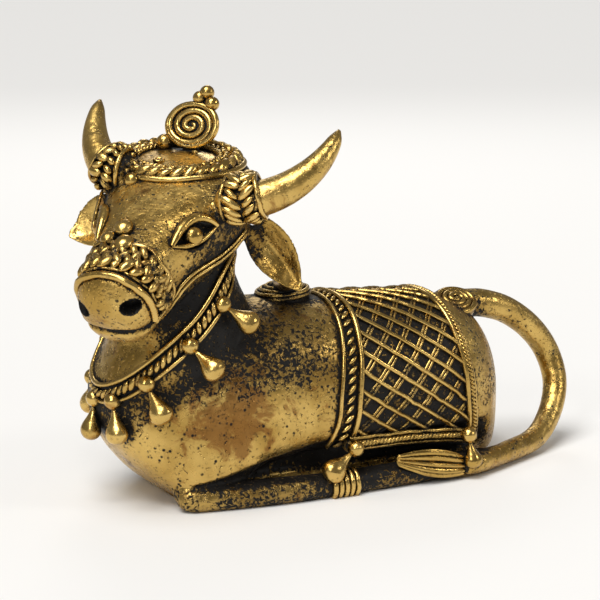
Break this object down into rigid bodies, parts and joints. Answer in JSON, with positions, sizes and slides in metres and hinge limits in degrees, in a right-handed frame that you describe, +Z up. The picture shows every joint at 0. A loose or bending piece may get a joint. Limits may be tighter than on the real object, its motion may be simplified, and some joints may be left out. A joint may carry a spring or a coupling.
{
  "type": "nandi bull figure",
  "caption": "Small cast brass figure of a recumbent Nandi bull with a garlanded neck, latticed saddle cloth, curved horns, coiled crest and looped tail.",
  "frame": {"origin": "centre of the figure's bounding box, on the ground it lies on", "axes": "+X from the chest to the tail, +Y to the bull's right, +Z up"},
  "size_m": [0.1506, 0.061, 0.1023],
  "materials": {
    "brass": "polished on the high places, dark patina in the low ones"
  },
  "bodies": {
    "root": {"nandi_bull": "brass"}
  },
  "joints": []
}
